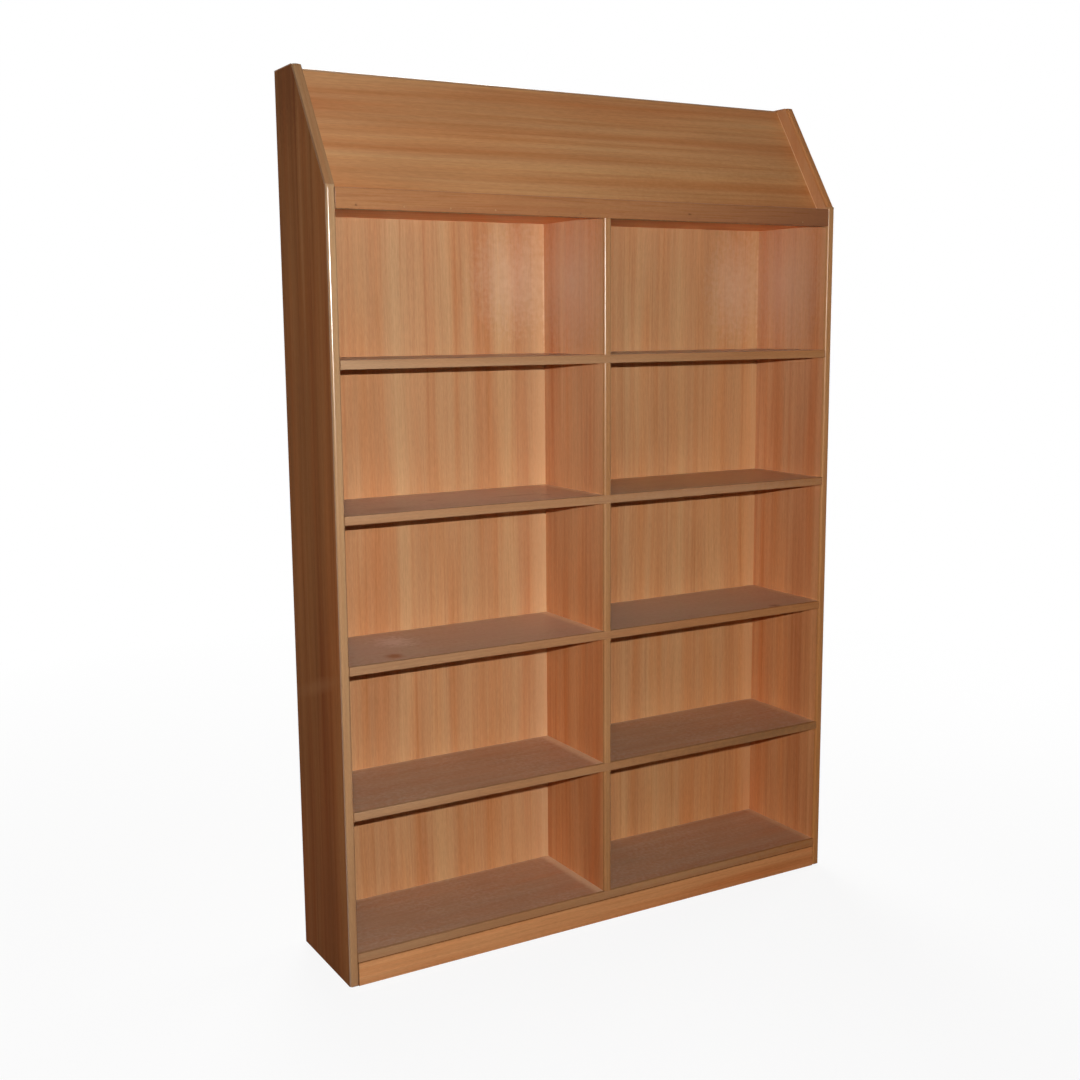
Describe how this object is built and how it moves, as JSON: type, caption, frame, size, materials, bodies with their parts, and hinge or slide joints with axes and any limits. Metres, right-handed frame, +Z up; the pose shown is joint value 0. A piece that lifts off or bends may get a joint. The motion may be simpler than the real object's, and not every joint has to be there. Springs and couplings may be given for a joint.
{
  "type": "library shelving unit",
  "caption": "Tall open beech bookcase with fixed shelves either side of a divider, a sloping display header above a book stop rail, and a closed back and plinth.",
  "frame": {"origin": "on the floor under the middle of the case", "axes": "+X to the right as seen from the open front, +Y from the front to the back, +Z up"},
  "size_m": [1.329, 0.272, 1.952],
  "materials": {
    "back_veneer": "satin lacquered beech veneered plywood, grain upright",
    "beech_lipping": "satin lacquered solid beech",
    "beech_rail": "satin lacquered solid beech, grain level",
    "divider_veneer": "satin lacquered beech veneer, grain upright",
    "dowel_beech": "turned beech, unfinished",
    "header_veneer": "satin lacquered beech veneer, grain level",
    "plinth_veneer": "satin lacquered beech veneer, grain level",
    "shelf_veneer": "satin lacquered beech veneer, grain level",
    "side_veneer": "satin lacquered beech veneer, grain upright",
    "softwood": "planed softwood, unfinished",
    "steel": "zinc plated",
    "wood_filler": "matt stopping"
  },
  "bodies": {
    "root": {"back_screws": "steel", "bottom_shelf": "shelf_veneer", "bottom_shelf_lipping": "beech_lipping", "display_panel": "header_veneer", "display_panel_lipping": "beech_lipping", "divider_1": "divider_veneer", "divider_1_lipping": "beech_lipping", "divider_2": "divider_veneer", "divider_2_lipping": "beech_lipping", "divider_3": "divider_veneer", "divider_3_lipping": "beech_lipping", "divider_4": "divider_veneer", "divider_4_lipping": "beech_lipping", "divider_5": "divider_veneer", "divider_5_lipping": "beech_lipping", "divider_dowels": "dowel_beech", "front_rail": "beech_rail", "header_centre_web": "header_veneer", "header_dowels": "dowel_beech", "header_top_rail": "header_veneer", "left_back_corner_block": "softwood", "left_back_panel": "back_veneer", "left_front_corner_block": "softwood", "left_front_lipping": "beech_lipping", "left_header_batten": "softwood", "left_side_panel": "side_veneer", "left_slope_lipping": "beech_lipping", "left_top_edging": "beech_lipping", "plinth_back": "plinth_veneer", "plinth_centre_bearer": "plinth_veneer", "plinth_dowels": "dowel_beech", "plinth_front": "plinth_veneer", "rail_fillers": "wood_filler", "rail_pins": "steel", "right_back_corner_block": "softwood", "right_back_panel": "back_veneer", "right_front_corner_block": "softwood", "right_front_lipping": "beech_lipping", "right_header_batten": "softwood", "right_side_panel": "side_veneer", "right_slope_lipping": "beech_lipping", "right_top_edging": "beech_lipping", "shelf_1": "shelf_veneer", "shelf_1_lipping": "beech_lipping", "shelf_2": "shelf_veneer", "shelf_2_lipping": "beech_lipping", "shelf_3": "shelf_veneer", "shelf_3_lipping": "beech_lipping", "shelf_4": "shelf_veneer", "shelf_4_lipping": "beech_lipping", "shelf_dowels": "dowel_beech", "top_board": "shelf_veneer"}
  },
  "joints": []
}
